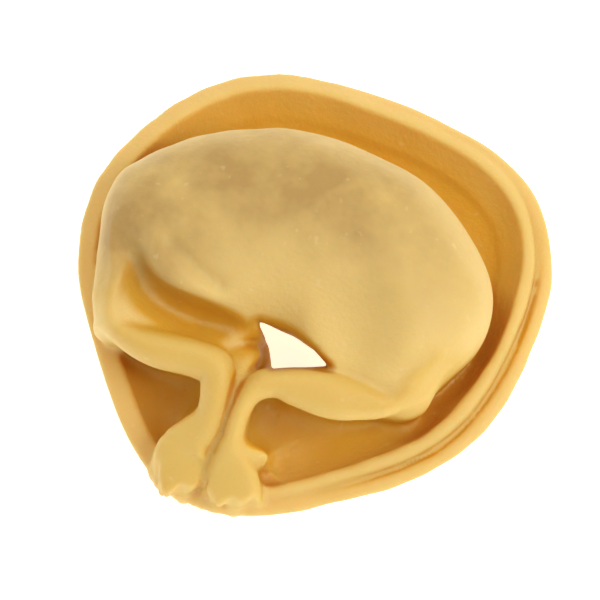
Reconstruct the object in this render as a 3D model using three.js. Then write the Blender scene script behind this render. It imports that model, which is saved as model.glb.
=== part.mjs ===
// One raw tortellino: a half-moon of filled dough bent round a finger, with its two ends pinched together
// in front and its sealed edge turned up all round as a brim.
// Sizes are in mm. X runs along the filled pocket, -Y points to the tips, +Z is up.
// The dough is worked out as a signed distance (under 0 inside), joined from a brim, a pocket and two folds,
// and the surface where it is 0 is then covered with facets.
import * as THREE from "three";

// Colour of raw egg dough
const DOUGH_COLOUR = 0xdcae5c;
const DOUGH_ROUGHNESS = 0.5;

// Half the thickness of the double sheet of dough
const SHEET = 1.1;

// Outline of the brim in plan: its middle, its mean radius and its waves
const RIM_MIDDLE = { x: -0.5, y: -1.0 };
const RIM_RADIUS = 16.75;
const RIM_WAVES = [
  { count: 1, height: 0.88, at: 87 },
  { count: 2, height: 0.27, at: 58 },
  { count: 3, height: 0.79, at: 85 },
  { count: 4, height: 0.16, at: -111 },
  { count: 5, height: 0.38, at: -145 },
];

// The upturn of the brim: slope of the dough at its edge in degrees and radius of the curve below it
const EDGE_SLOPE = 62;
const UPTURN_RADIUS = 5.2;
// What each side of the brim adds to them, where it lies in degrees and how far it spreads in radians
const BRIM_SIDES = [
  { at: 95, spread: 1.0, slope: -4, radius: 2.2, half: -0.3 },
  { at: -25, spread: 1.0, slope: 20, radius: -0.9, half: 0.2 },
  { at: 185, spread: 0.7, slope: 12, radius: -0.2, half: -0.25 },
  { at: -115, spread: 0.75, slope: 12, radius: -2.2, half: -0.25 },
];
// Rounding of the cut edge
const EDGE_ROUND = 0.9;
// The underside rises a little from the lowest ring towards the hole
const FLOOR_RISE = 1.6;
const FLOOR_REACH = 7.0;

// The filled pocket, bent round a middle that lies in front of it
const BEND = { x: -1.0, y: -8.4 };
const BEND_MIDDLE = 93;
const BEND_HALF = 90;
const POCKET_END = 1.15;
const POCKET_OUTER = 18.5;
const POCKET_OUTER_LEFT = { from: 140, over: 34, less: 5.7 };
const POCKET_OUTER_RIGHT = { less: 8.4, power: 4.0 };
const POCKET_INNER = { at: 2.9, less: 0.8, power: 2 };
const POCKET_TOP = { at: 13.0, less: 1.2, power: 2.5 };
const POCKET_BOTTOM = { at: 0.2, less: -2.0, power: 3 };
const POCKET_LEAST_HALF = 0.8;
// 2 gives a round section, more gives a squarer one
const POCKET_SQUARENESS = 2.35;
// A dent in the outer side near the right corner: direction and spread in degrees, depth
const DENT = { at: 18, spread: 9, depth: 2.5 };
// The pocket ends against the folds beside the hole
const POCKET_FRONT = { y: -7.15, leftSlope: 0.19, leftFrom: -3.0, rightSlope: -0.02 };
const FRONT_ROUND = 0.9;

// The collapsed left end of the pocket lies beyond this crease, under a sloping face
const CREASE = [
  [-18, 0.5],
  [-15.0, -0.6],
  [-12.9, -2.4],
  [-10.6, -4.5],
  [-8.2, -5.2],
  [-5.6, -5.3],
  [-3.6, -5.6],
  [-2.4, -7],
  [-2.2, -16],
];
const LEFT_FACE = { x: -9.0, z: 9.3, slope: -0.22, dish: 0.03, endX: -12.0, endRise: 0.4 };
const CREASE_ROUND = 0.8;

// The right end slopes from this ridge down to the hole
const RIDGE = [
  [6.4, 9.0],
  [6.4, 2.0],
  [7.2, -2.0],
  [8.6, -7.4],
  [8.8, -16.0],
];
const RIGHT_FACE = { x: 8.4, z: 12.0, slope: 0.5, backY: -7.0, backRise: 0.05, endX: 6.0, endRise: 0.14 };
const RIDGE_ROUND = 1.4;

// A shallow fold across the pocket's lower left lobe
const LOBE_FOLD = [
  [-9.6, -2.6],
  [-7.6, -3.5],
  [-5.8, -4.3],
  [-4.0, -4.7],
];
const LOBE_FOLD_DEPTH = 0.5;
const LOBE_FOLD_WIDTH = 0.75;
const LOBE_FOLD_FOOT = 7.0;
const LOBE_FOLD_FADE = 2.0;

// The two standing folds, from a side of the pocket round its corner, along the hole and down to a tip:
// x, y, top, half width, and how widely it blends into the brim
const LEFT_FOLD = [
  [-12.9, -4.4, 9.4, 0.8, 0.6],
  [-13.0, -6.6, 9.9, 0.85, 0.6],
  [-12.2, -8.5, 10.4, 0.9, 0.6],
  [-10.4, -9.4, 10.8, 1.1, 1.0],
  [-8.2, -9.6, 11.1, 1.3, 1.4],
  [-5.6, -9.5, 11.5, 1.35, 1.8],
  [-4.0, -9.8, 11.6, 1.35, 1.8],
  [-3.5, -11.2, 11.1, 1.15, 1.8],
  [-3.5, -12.6, 9.9, 1.1, 1.4],
  [-4.1, -13.9, 8.3, 1.5, 1.0],
  [-5.0, -15.6, 6.6, 2.0, 0.8],
];
const RIGHT_FOLD = [
  [10.3, -3.4, 10.2, 0.7, 0.6],
  [9.5, -6.0, 10.9, 0.9, 0.6],
  [8.3, -8.0, 11.2, 1.0, 0.8],
  [6.2, -8.7, 11.4, 1.4, 1.2],
  [4.0, -9.0, 11.6, 1.65, 2.0],
  [2.0, -9.1, 11.7, 1.5, 2.2],
  [0.3, -9.3, 11.7, 1.2, 2.2],
  [-1.1, -10.4, 11.5, 0.95, 2.2],
  [-1.6, -12.1, 10.4, 0.75, 2.2],
  [-1.5, -13.8, 8.8, 0.85, 1.8],
  [-1.2, -15.4, 7.0, 1.4, 1.4],
  [-0.5, -17.3, 5.4, 2.3, 0.8],
];
// A spur that stands off the right tip
const SPUR = [
  [-1.4, -14.3, 7.5, 0.5, 0.8],
  [-0.2, -13.9, 7.0, 0.55, 0.8],
  [1.1, -13.6, 6.2, 0.7, 0.5],
];
const SPUR_REACH = 0.8;
// The web of dough where the two folds are pinched together
const PINCH = [
  [-1.9, -8.4, 9.2, 0.9, 1.0],
  [-2.4, -9.9, 9.9, 0.8, 1.0],
  [-2.5, -12.0, 9.0, 0.8, 1.0],
  [-2.7, -14.2, 7.2, 0.9, 0.8],
  [-3.1, -16.4, 4.6, 1.0, 0.6],
];
const FOLD_ROUND = 1.1;
const FOLD_FOOT = 7.0;
const FOLD_SPREAD = 0.2;
// How far the folds and the hole lean for each mm that they go down, where the tails stop leaning,
// and how the folds' tops slope and how much they are domed
const LEAN = { x: -0.09, y: 0.27 };
const LEAN_END = -13.0;
const LEAN_FADE = 2.0;
const TOP_SLOPE = 0.25;
const DOME = 0.45;
// How the folds blend into the pocket, more softly at its two ends
const FOLD_JOIN = { least: 0.5, more: 2.5, middle: -1.7, from: 9.0, front: -8.5, over: 2.0 };
const POCKET_JOIN = 0.5;
// The tips are torn rather than cut, and reach a little past the brim
const TIP_REACH = 4.0;
const TIP_TRIM = 0.4;
const TIP_ROUND = 0.3;
const TIP_WAVES = [
  { height: 0.3, along: new THREE.Vector3(1.7, -1.3, 0.5), phase: 0 },
  { height: 0.2, along: new THREE.Vector3(3.9, 3.1, -1.2), phase: 1 },
];
const TIP_SPILL = { from: -14.0, over: 2.0, most: 1.0 };

// The hole between the pocket and the folds, in plan at its own height, and its flare below
const HOLE = [
  [-2.5, -4.9],
  [0.1, -5.1],
  [1.9, -5.6],
  [3.1, -6.4],
  [1.3, -7.1],
  [-0.5, -7.8],
  [-1.2, -6.4],
];
const HOLE_AT = 9.0;
const HOLE_MARGIN = 0.1;
const HOLE_STEEPNESS = 0.8;
const FLARE_FRONT = 2.6;
const FLARE_MORE_BEHIND = 1.4;
const FLARE_SIDES = { from: -9.0, over: 6.0 };
const FLARE_WIDTH = 1.1;
const HOLE_ROUND = 0.7;

// Points between two named points of a curve
const CURVE_STEPS = 4;
// Size of one facet, and the box that the facets are looked for in
const CELL = 0.87;
const BOX_LOW = [-19.5, -20.5, -1.3];
const BOX_HIGH = [18.5, 17.5, 14.5];
const NORMAL_STEP = 0.02;
// Most that a vertex moves to reach the surface, as a part of a cell
const MOST_MOVE = 0.2;
const LEAST_STEEPNESS = 0.25;
const SEALED = 0.1;

// The corners of a cell, numbered so that 7 less a number is the opposite corner
const CELL_CORNERS = [0, 1, 2, 3, 4, 5, 6, 7].map((n) => [(n >> 2) & 1, (n >> 1) & 1, n & 1]);
// The six sides of a cell, each as its corners in turn
const CELL_SIDES = [
  [0, 1, 3, 2],
  [4, 5, 7, 6],
  [0, 1, 5, 4],
  [2, 3, 7, 6],
  [0, 2, 6, 4],
  [1, 3, 7, 5],
];
// The twelve edges of a cell, each from a corner to the next one along an axis
const CELL_EDGES = [];
for (const axis of [0, 1, 2]) {
  for (const one of [0, 1]) {
    for (const other of [0, 1]) {
      const from = [0, 0, 0];
      from[(axis + 1) % 3] = one;
      from[(axis + 2) % 3] = other;
      const to = [...from];
      to[axis] = 1;
      CELL_EDGES.push([from, to]);
    }
  }
}

const radians = THREE.MathUtils.degToRad;
const clamp = THREE.MathUtils.clamp;

// A bump of height 1 at 0 that falls away over the width
function bell(value, width) {
  return Math.exp(-((value / width) ** 2));
}

// A smooth rise from 0 to 1 while the value goes from 0 to 1
function smoothStep(value) {
  const share = clamp(value, 0, 1);
  return share * share * (3 - 2 * share);
}

// The nearer of two solids, blended over the reach
function join(a, b, reach) {
  const share = clamp(0.5 + (0.5 * (b - a)) / reach, 0, 1);
  return b + (a - b) * share - reach * share * (1 - share);
}

// What two solids share, blended over the reach
function overlap(a, b, reach) {
  return -join(-a, -b, reach);
}

// Rows of values along a smooth curve through the given rows
function smoothRows(rows) {
  const first = rows[0].map((value, k) => 2 * value - rows[1][k]);
  const end = rows.length - 1;
  const last = rows[end].map((value, k) => 2 * value - rows[end - 1][k]);
  const all = [first, ...rows, last];
  const made = [];
  for (let i = 1; i <= end; i++) {
    for (let step = 0; step < CURVE_STEPS; step++) {
      made.push(all[i].map((_, k) => curveValue(all, i, k, step / CURVE_STEPS)));
    }
  }
  made.push(rows[end]);
  return made;
}

function curveValue(rows, i, k, t) {
  const before = rows[i - 1][k];
  const from = rows[i][k];
  const to = rows[i + 1][k];
  const after = rows[i + 2][k];
  const bend = 2 * before - 5 * from + 4 * to - after;
  const twist = 3 * from - before - 3 * to + after;
  return 0.5 * (2 * from + (to - before) * t + bend * t * t + twist * t * t * t);
}

// How far a point lies from a line in plan, signed to the left of its direction, and the line's values there,
// y first
function nearestOn(line, x, y) {
  let away = Infinity;
  let side = 0;
  let values = [];
  for (let i = 0; i + 1 < line.length; i++) {
    const [ax, ay] = line[i];
    const ex = line[i + 1][0] - ax;
    const ey = line[i + 1][1] - ay;
    const t = clamp(((x - ax) * ex + (y - ay) * ey) / (ex * ex + ey * ey), 0, 1);
    const dx = x - ax - t * ex;
    const dy = y - ay - t * ey;
    const distance = Math.hypot(dx, dy);
    if (distance < away) {
      away = distance;
      side = Math.sign(ex * dy - ey * dx) * distance;
      values = line[i].slice(1).map((value, k) => value + t * (line[i + 1][1 + k] - value));
    }
  }
  return { away, side, values };
}

// Signed distance to a closed outline in plan, under 0 inside
function insideOutline(outline, x, y) {
  let away = Infinity;
  let inside = false;
  outline.forEach(([ax, ay], i) => {
    const [bx, by] = outline[(i + 1) % outline.length];
    const ex = bx - ax;
    const ey = by - ay;
    const t = clamp(((x - ax) * ex + (y - ay) * ey) / (ex * ex + ey * ey), 0, 1);
    away = Math.min(away, Math.hypot(x - ax - t * ex, y - ay - t * ey));
    if (ay > y !== by > y && x < ax + ((y - ay) / ey) * ex) inside = !inside;
  });
  return inside ? -away : away;
}

// Distance inward from the outline of the brim
function rimDistance(x, y) {
  const dx = x - RIM_MIDDLE.x;
  const dy = y - RIM_MIDDLE.y;
  const angle = Math.atan2(dy, dx);
  let radius = RIM_RADIUS;
  let slant = 0;
  for (const wave of RIM_WAVES) {
    const turn = wave.count * angle - radians(wave.at);
    radius += wave.height * Math.cos(turn);
    slant -= wave.count * wave.height * Math.sin(turn);
  }
  const inward = ((radius - Math.hypot(dx, dy)) * radius) / Math.hypot(radius, slant);
  return { inward, angle };
}

// Slope, upturn radius and half thickness of the brim in one direction
function brimProfile(angle) {
  let slope = EDGE_SLOPE;
  let upturn = UPTURN_RADIUS;
  let half = SHEET;
  for (const side of BRIM_SIDES) {
    const apart = THREE.MathUtils.euclideanModulo(angle - radians(side.at) + Math.PI, 2 * Math.PI) - Math.PI;
    const near = bell(apart, side.spread);
    slope += side.slope * near;
    upturn += side.radius * near;
    half += side.half * near;
  }
  return { slope: radians(slope), upturn, half };
}

// The sheet of the brim, and the outer skin that nothing but the tips passes
function brim(x, y, z) {
  const { inward, angle } = rimDistance(x, y);
  const { slope, upturn, half } = brimProfile(angle);
  const out = (upturn + half) * Math.sin(slope) - inward;
  const up = z - upturn - SHEET;
  if (out <= 0) {
    const rise = FLOOR_RISE * Math.min(-out / FLOOR_REACH, 1) ** 2;
    const floor = z - SHEET - rise;
    return { sheet: Math.abs(floor) - half, skin: -floor - half };
  }
  const reach = Math.hypot(out, up);
  const bowl = Math.abs(reach - upturn) - half;
  const beyond = clamp(Math.atan2(out, -up) - slope, -Math.PI / 2, Math.PI / 2);
  const edge = reach * Math.sin(beyond);
  return {
    sheet: overlap(up < 0 ? bowl : Math.max(bowl, up), edge, EDGE_ROUND),
    skin: (up < 0 ? reach : out) - upturn - half,
  };
}

// The whole bent pocket, before its ends are shaped
function fullPocket(x, y, z) {
  const dx = x - BEND.x;
  const dy = y - BEND.y;
  let direction = THREE.MathUtils.radToDeg(Math.atan2(dy, dx));
  if (direction < -90) direction += 360;
  const along = (direction - BEND_MIDDLE) / BEND_HALF;
  const toEnd = Math.min(Math.abs(along), POCKET_END);
  const shrunk = ({ at, less, power }) => at - less * toEnd ** power;
  const leftShare = smoothStep((direction - POCKET_OUTER_LEFT.from) / POCKET_OUTER_LEFT.over);
  const left = POCKET_OUTER - POCKET_OUTER_LEFT.less * leftShare;
  const dent = DENT.depth * bell(direction - DENT.at, DENT.spread);
  const right = shrunk({ at: POCKET_OUTER, ...POCKET_OUTER_RIGHT }) - dent;
  const outer = along > 0 ? left : right;
  const inner = shrunk(POCKET_INNER);
  const top = shrunk(POCKET_TOP);
  const bottom = shrunk(POCKET_BOTTOM);
  const half = Math.max((outer - inner) / 2, POCKET_LEAST_HALF);
  const rise = (top - bottom) / 2;
  const across = Math.abs(Math.hypot(dx, dy) - (outer + inner) / 2) / half;
  const over = Math.abs(z - (top + bottom) / 2) / rise;
  const power = POCKET_SQUARENESS;
  return ((across ** power + over ** power) ** (1 / power) - 1) * Math.min(half, rise);
}

const creaseLine = smoothRows(CREASE);
const ridgeLine = smoothRows(RIDGE);
const lobeFoldLine = smoothRows(LOBE_FOLD);
const leftFoldLine = smoothRows(LEFT_FOLD);
const rightFoldLine = smoothRows(RIGHT_FOLD);
const spurLine = smoothRows(SPUR);
const pinchLine = smoothRows(PINCH);

// The filled pocket with its collapsed left end and its sloping right end
function pocket(x, y, z) {
  const front =
    POCKET_FRONT.y +
    POCKET_FRONT.leftSlope * Math.min(x - POCKET_FRONT.leftFrom, 0) +
    POCKET_FRONT.rightSlope * Math.max(x, 0);
  let dough = overlap(fullPocket(x, y, z), front - y, FRONT_ROUND);

  const leftRun = x - LEFT_FACE.x;
  const leftFace =
    LEFT_FACE.z +
    LEFT_FACE.slope * leftRun +
    LEFT_FACE.dish * leftRun ** 2 +
    LEFT_FACE.endRise * Math.max(LEFT_FACE.endX - x, 0) ** 2;
  const leftSide = nearestOn(creaseLine, x, y).side;
  dough = overlap(dough, -overlap(leftSide, leftFace - z, CREASE_ROUND), CREASE_ROUND);

  const rightFace =
    RIGHT_FACE.z +
    RIGHT_FACE.slope * (x - RIGHT_FACE.x) +
    RIGHT_FACE.backRise * Math.max(y - RIGHT_FACE.backY, 0) ** 2 +
    RIGHT_FACE.endRise * Math.max(RIGHT_FACE.endX - x, 0) ** 2;
  const rightSide = nearestOn(ridgeLine, x, y).side;
  dough = overlap(dough, -overlap(rightSide, rightFace - z, RIDGE_ROUND), RIDGE_ROUND);

  const lobe = bell(nearestOn(lobeFoldLine, x, y).away, LOBE_FOLD_WIDTH);
  return dough + LOBE_FOLD_DEPTH * lobe * clamp((z - LOBE_FOLD_FOOT) / LOBE_FOLD_FADE, 0, 1);
}

// One standing fold, leaning over its foot, with a rounded top and a torn end
function standingFold(line, x, y, z) {
  const topHere = nearestOn(line, x, y).values[1];
  const down = (topHere - z) * clamp((y - LEAN_END) / LEAN_FADE, 0, 1);
  const leantY = y - LEAN.y * down;
  const { away, values } = nearestOn(line, x - LEAN.x * down, leantY);
  const [lineY, top, half, blend] = values;
  const foot = clamp((FOLD_FOOT - z) / FOLD_FOOT, 0, 1);
  const across = away - half - FOLD_SPREAD * blend * foot ** 2 + FOLD_ROUND;
  const dome = DOME * Math.min(away / half, 1) ** 2;
  const over = z - top - TOP_SLOPE * clamp(leantY - lineY, -half, half) + dome + FOLD_ROUND;
  const corner = Math.hypot(Math.max(across, 0), Math.max(over, 0));
  let dough = corner + Math.min(Math.max(across, over), 0) - FOLD_ROUND;
  const [tip, before] = [line[line.length - 1], line[line.length - 2]];
  if (Math.hypot(x - tip[0], y - tip[1]) < TIP_REACH) {
    const ahead = new THREE.Vector2(tip[0] - before[0], tip[1] - before[1]).normalize();
    const past = (x - tip[0]) * ahead.x + (y - tip[1]) * ahead.y;
    dough = overlap(dough, past + TIP_TRIM + tornEdge(new THREE.Vector3(x, y, z)), TIP_ROUND);
  }
  return { dough: Math.max(dough, -z), blend };
}

function tornEdge(place) {
  let waves = 0;
  for (const wave of TIP_WAVES) {
    waves += wave.height * Math.sin(place.dot(wave.along) + wave.phase);
  }
  return waves;
}

// The space of the hole, which leans and flares out below
function hole(x, y, z) {
  const flare = FLARE_FRONT + FLARE_MORE_BEHIND * clamp((y - FLARE_SIDES.from) / FLARE_SIDES.over, 0, 1);
  const below = clamp(flare - z, 0, flare);
  const wider = flare - Math.sqrt(flare ** 2 - below ** 2);
  const down = HOLE_AT - z;
  const plan = insideOutline(HOLE, x - LEAN.x * down, y - LEAN.y * down);
  return HOLE_STEEPNESS * (plan - HOLE_MARGIN - FLARE_WIDTH * wider);
}

// All the standing folds together, and how widely the nearest one blends into the brim
function folds(x, y, z) {
  const left = standingFold(leftFoldLine, x, y, z);
  const right = standingFold(rightFoldLine, x, y, z);
  const spur = standingFold(spurLine, x, y, z);
  const pinch = standingFold(pinchLine, x, y, z);
  const blend = left.dough < right.dough ? left.blend : right.blend;
  const forked = join(right.dough, spur.dough, SPUR_REACH);
  return { fold: Math.min(left.dough, forked, pinch.dough), blend };
}

// The whole piece
function tortellino(x, y, z) {
  const { sheet, skin } = brim(x, y, z);
  const { fold, blend } = folds(x, y, z);
  const spill = TIP_SPILL.most * clamp((TIP_SPILL.from - y) / TIP_SPILL.over, 0, 1);
  const standing = Math.max(fold, skin - spill);
  const filled = Math.max(pocket(x, y, z), skin);
  const toEnd = clamp((Math.abs(x - FOLD_JOIN.middle) - FOLD_JOIN.from) / FOLD_JOIN.over, 0, 1);
  const behind = clamp((y - FOLD_JOIN.front) / FOLD_JOIN.over, 0, 1);
  const reach = FOLD_JOIN.least + FOLD_JOIN.more * toEnd * behind;
  const dough = Math.min(
    join(sheet, standing, blend),
    join(sheet, filled, POCKET_JOIN),
    join(standing, filled, reach),
  );
  return Math.max(overlap(dough, -hole(x, y, z), HOLE_ROUND), -z);
}

// Direction in which the distance grows fastest at a point, and how fast
function gradient(point) {
  const { x, y, z } = point;
  const h = NORMAL_STEP;
  return new THREE.Vector3(
    tortellino(x + h, y, z) - tortellino(x - h, y, z),
    tortellino(x, y + h, z) - tortellino(x, y - h, z),
    tortellino(x, y, z + h) - tortellino(x, y, z - h),
  ).divideScalar(2 * h);
}

// Moves a point towards the surface of the dough, by a small part of a facet at most
function ontoSurface(point) {
  const slope = gradient(point);
  const steepness = Math.max(slope.lengthSq(), LEAST_STEEPNESS);
  const move = slope.multiplyScalar(-tortellino(point.x, point.y, point.z) / steepness);
  return point.add(move.clampLength(0, MOST_MOVE * CELL));
}

// Values of the distance at the corners of a grid of cells
function sampleGrid() {
  const counts = BOX_LOW.map((low, k) => Math.ceil((BOX_HIGH[k] - low) / CELL) + 1);
  const values = new Float64Array(counts[0] * counts[1] * counts[2]);
  const at = (i, j, k) => (i * counts[1] + j) * counts[2] + k;
  for (let i = 0; i < counts[0]; i++) {
    for (let j = 0; j < counts[1]; j++) {
      for (let k = 0; k < counts[2]; k++) {
        const corner = [i, j, k].map((step, axis) => BOX_LOW[axis] + step * CELL);
        values[at(i, j, k)] = tortellino(...corner);
      }
    }
  }
  return { counts, values, at };
}

// Closes any bubble of air that the coarse cells would leave sealed in the dough
function fillBubbles({ counts, values, at }) {
  const open = new Uint8Array(values.length);
  open[0] = 1;
  const reached = [[0, 0, 0]];
  while (reached.length) {
    const here = reached.pop();
    for (const axis of [0, 1, 2]) {
      for (const step of [-1, 1]) {
        const next = [...here];
        next[axis] += step;
        if (next[axis] < 0 || next[axis] >= counts[axis]) continue;
        const index = at(...next);
        if (open[index] || values[index] < 0) continue;
        open[index] = 1;
        reached.push(next);
      }
    }
  }
  values.forEach((value, index) => {
    if (value >= 0 && !open[index]) values[index] = -SEALED;
  });
}

// Fills the corners of the grid where the dough would only touch itself along an edge or at a point,
// or takes them away where that would reach below the floor
function closeTouching({ counts, values, at }) {
  let changed = true;
  while (changed) {
    changed = false;
    for (let i = 0; i + 1 < counts[0]; i++) {
      for (let j = 0; j + 1 < counts[1]; j++) {
        for (let k = 0; k + 1 < counts[2]; k++) {
          const corners = CELL_CORNERS.map(([a, b, c]) => at(i + a, j + b, k + c));
          const dough = corners.map((index) => values[index] < 0);
          if (!touchesItself(dough)) continue;
          const atFloor = BOX_LOW[2] + k * CELL < 0;
          corners.forEach((index, n) => {
            if (dough[n] === atFloor) values[index] = atFloor ? SEALED : -SEALED;
          });
          changed = true;
        }
      }
    }
  }
}

// Whether a side of the cell has dough at two opposite corners only, or the cell at two or at all but two
function touchesItself(dough) {
  const crossed = CELL_SIDES.some(
    ([a, b, c, d]) => dough[a] === dough[c] && dough[b] === dough[d] && dough[a] !== dough[b],
  );
  const full = dough.filter(Boolean).length;
  const odd = full === 2;
  const opposite = [0, 1, 2, 3].some((n) => dough[n] === odd && dough[7 - n] === odd);
  return crossed || (opposite && (full === 2 || full === 6));
}

// One vertex for each cell that the surface passes, at the mean of where it crosses the cell's edges
function cellVertices({ counts, values, at }) {
  const vertices = [];
  const vertexOf = new Map();
  for (let i = 0; i + 1 < counts[0]; i++) {
    for (let j = 0; j + 1 < counts[1]; j++) {
      for (let k = 0; k + 1 < counts[2]; k++) {
        const sum = new THREE.Vector3();
        let crossings = 0;
        for (const [from, to] of CELL_EDGES) {
          const a = values[at(i + from[0], j + from[1], k + from[2])];
          const b = values[at(i + to[0], j + to[1], k + to[2])];
          if (a < 0 === b < 0) continue;
          const share = a / (a - b);
          sum.add(new THREE.Vector3(...from.map((f, axis) => f + share * (to[axis] - f))));
          crossings++;
        }
        if (!crossings) continue;
        const vertex = sum.divideScalar(crossings).add(new THREE.Vector3(i, j, k));
        vertex.multiplyScalar(CELL).add(new THREE.Vector3(...BOX_LOW));
        vertexOf.set(at(i, j, k), vertices.length);
        vertices.push(ontoSurface(vertex));
      }
    }
  }
  return { vertices, vertexOf };
}

// Two facets across each grid edge that the surface passes
function facets({ counts, values, at }, vertexOf) {
  const triangles = [];
  for (let i = 1; i + 1 < counts[0]; i++) {
    for (let j = 1; j + 1 < counts[1]; j++) {
      for (let k = 1; k + 1 < counts[2]; k++) {
        const here = values[at(i, j, k)] < 0;
        for (const axis of [0, 1, 2]) {
          const next = [i, j, k];
          next[axis]++;
          const there = values[at(...next)] < 0;
          if (here === there) continue;
          const corners = [
            [0, 0],
            [1, 0],
            [1, 1],
            [0, 1],
          ].map(([one, other]) => {
            const cell = [i, j, k];
            cell[(axis + 1) % 3] -= one;
            cell[(axis + 2) % 3] -= other;
            return vertexOf.get(at(...cell));
          });
          if (!here) corners.reverse();
          triangles.push(corners[0], corners[1], corners[2], corners[0], corners[2], corners[3]);
        }
      }
    }
  }
  return triangles;
}

function doughGeometry() {
  const grid = sampleGrid();
  closeTouching(grid);
  fillBubbles(grid);
  const { vertices, vertexOf } = cellVertices(grid);
  const geometry = new THREE.BufferGeometry().setFromPoints(vertices);
  geometry.setIndex(facets(grid, vertexOf));
  geometry.computeVertexNormals();
  geometry.computeBoundingBox();
  const middle = geometry.boundingBox.getCenter(new THREE.Vector3());
  geometry.translate(-middle.x, -middle.y, -geometry.boundingBox.min.z);
  return geometry;
}

const dough = new THREE.MeshStandardMaterial({
  color: DOUGH_COLOUR,
  roughness: DOUGH_ROUGHNESS,
  metalness: 0,
});
const piece = new THREE.Mesh(doughGeometry(), dough);
piece.name = "tortellino";

const group = new THREE.Group();
group.add(piece);
export default group;
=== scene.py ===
"""A raw egg tortellino on a pale floor, seen from nearly above.

The dough is worked out as a signed distance (under 0 inside) from a brim, a filled pocket and two
standing folds, as in the solid, and is covered with a fine mesh. Lengths are in mm until the mesh is made.
"""
import math

import bpy
import numpy as np
from mathutils import Matrix, Vector


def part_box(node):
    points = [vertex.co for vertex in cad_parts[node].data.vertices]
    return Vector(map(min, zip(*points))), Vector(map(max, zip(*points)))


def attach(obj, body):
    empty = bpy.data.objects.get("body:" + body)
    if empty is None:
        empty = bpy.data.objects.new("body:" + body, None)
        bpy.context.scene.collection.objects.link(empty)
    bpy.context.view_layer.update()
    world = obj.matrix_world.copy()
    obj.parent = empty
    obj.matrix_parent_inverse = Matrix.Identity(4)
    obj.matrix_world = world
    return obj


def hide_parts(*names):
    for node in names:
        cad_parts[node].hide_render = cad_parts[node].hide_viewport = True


bl_info = {
    "name": "Tortellino",
    "version": (1, 0, 0),
    "blender": (4, 5, 0),
    "location": "View3D > Sidebar > Tortellino",
    "description": "Dresses the tortellino's solid and sets up its stage",
    "category": "Object",
}

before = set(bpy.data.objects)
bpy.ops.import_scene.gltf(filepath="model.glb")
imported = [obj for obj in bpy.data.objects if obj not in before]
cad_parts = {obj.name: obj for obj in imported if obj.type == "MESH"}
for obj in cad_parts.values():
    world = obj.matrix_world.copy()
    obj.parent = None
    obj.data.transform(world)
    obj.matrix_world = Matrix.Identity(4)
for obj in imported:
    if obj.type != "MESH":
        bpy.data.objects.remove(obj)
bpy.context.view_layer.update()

MM = 0.001
NODE = "tortellino"

# Half the thickness of the double sheet of dough
SHEET = 1.1

# Outline of the brim in plan: middle, mean radius, and waves as (count, height, direction in degrees)
RIM_MIDDLE = (-0.5, -1.0)
RIM_RADIUS = 16.75
RIM_WAVES = ((1, 0.88, 87), (2, 0.27, 58), (3, 0.79, 85), (4, 0.16, -111), (5, 0.38, -145))

# The upturn of the brim: slope of the dough at its edge in degrees and radius of the curve below it
EDGE_SLOPE = 62
UPTURN_RADIUS = 5.2
# For each side: direction in degrees, spread in radians, more slope, more radius, more half thickness
BRIM_SIDES = (
    (95, 1.0, -4, 2.2, -0.3),
    (-25, 1.0, 20, -0.9, 0.2),
    (185, 0.7, 12, -0.2, -0.25),
    (-115, 0.75, 12, -2.2, -0.25),
)
EDGE_ROUND = 0.45
# The brim is a little thicker beyond the line that the cutter pressed into it: height of that step, its
# place across the brim and its width, and the direction in degrees that it is strongest in, with the spread
PRESS_STEP = 0.16
PRESS_AT = -3.0
PRESS_FADE = 0.6
PRESS_TOWARDS = 60
PRESS_SPREAD = 1.2
# The seam between the two layers of dough shows in the cut edge at the right
SEAM_WIDTH = 0.32
SEAM_TOWARDS = -13
SEAM_SPREAD = 0.8
SEAM_STRETCH = 1.8
# How much the floor of the brim rises towards its middle, and over what length
FLOOR_RISE = 1.6
FLOOR_REACH = 7.0

# The filled pocket, bent round a middle that lies in front of it: the direction of its own middle and half
# its turn in degrees, its outer and inner radius, its top and bottom, and how square it is in section
BEND = (-1.0, -8.4)
BEND_MIDDLE = 93
BEND_HALF = 90
POCKET_OUTER = 18.5
POCKET_INNER = 2.9
POCKET_TOP = 13.0
POCKET_BOTTOM = 0.2
POCKET_SQUARENESS = 2.35
POCKET_LEAST = 0.8
# Its left end narrows from a direction on, over a turn, both in degrees, by a width
LEFT_FROM = 140
LEFT_OVER = 34
LEFT_LESS = 5.7
# The rest narrows towards the ends, as far as a share of the bend: how much and by what power
NARROW_AS_FAR_AS = 1.15
RIGHT_LESS = 8.4
RIGHT_POWER = 4.0
INNER_LESS = 0.8
TOP_LESS = 1.2
TOP_POWER = 2.5
BOTTOM_MORE = 2.0
BOTTOM_POWER = 3
# The dent in its right side: direction and spread in degrees, and depth
DENT_AT = 18
DENT_SPREAD = 9
DENT_DEPTH = 2.5

# Lines in plan on the pocket: the crease of the collapsed left end, a fold across the lobe beside it,
# and the ridge of the right end
CREASE = (
    (-18, 0.5), (-15.0, -0.6), (-12.9, -2.4), (-10.6, -4.5), (-8.2, -5.2),
    (-5.6, -5.3), (-3.6, -5.6), (-2.4, -7), (-2.2, -16),
)
LOBE_FOLD = ((-9.8, -2.3), (-8.3, -3.1), (-6.9, -3.7), (-5.7, -4.0))
RIDGE = ((6.4, 9.0), (6.4, 2.0), (7.2, -2.0), (8.6, -7.4), (8.8, -16.0))
# The fold across the lobe: depth, width, and above what height it shows, over what length
LOBE_DEPTH = 0.35
LOBE_WIDTH = 0.6
LOBE_ABOVE = 7.0
LOBE_FADE = 2.0

# The front of the pocket is cut off here, and further forward to both sides
FRONT_CUT = -7.15
FRONT_LEFT_FROM = -3.0
FRONT_LEFT_SLOPE = 0.19
FRONT_RIGHT_SLOPE = -0.02
FRONT_ROUND = 0.9
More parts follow.
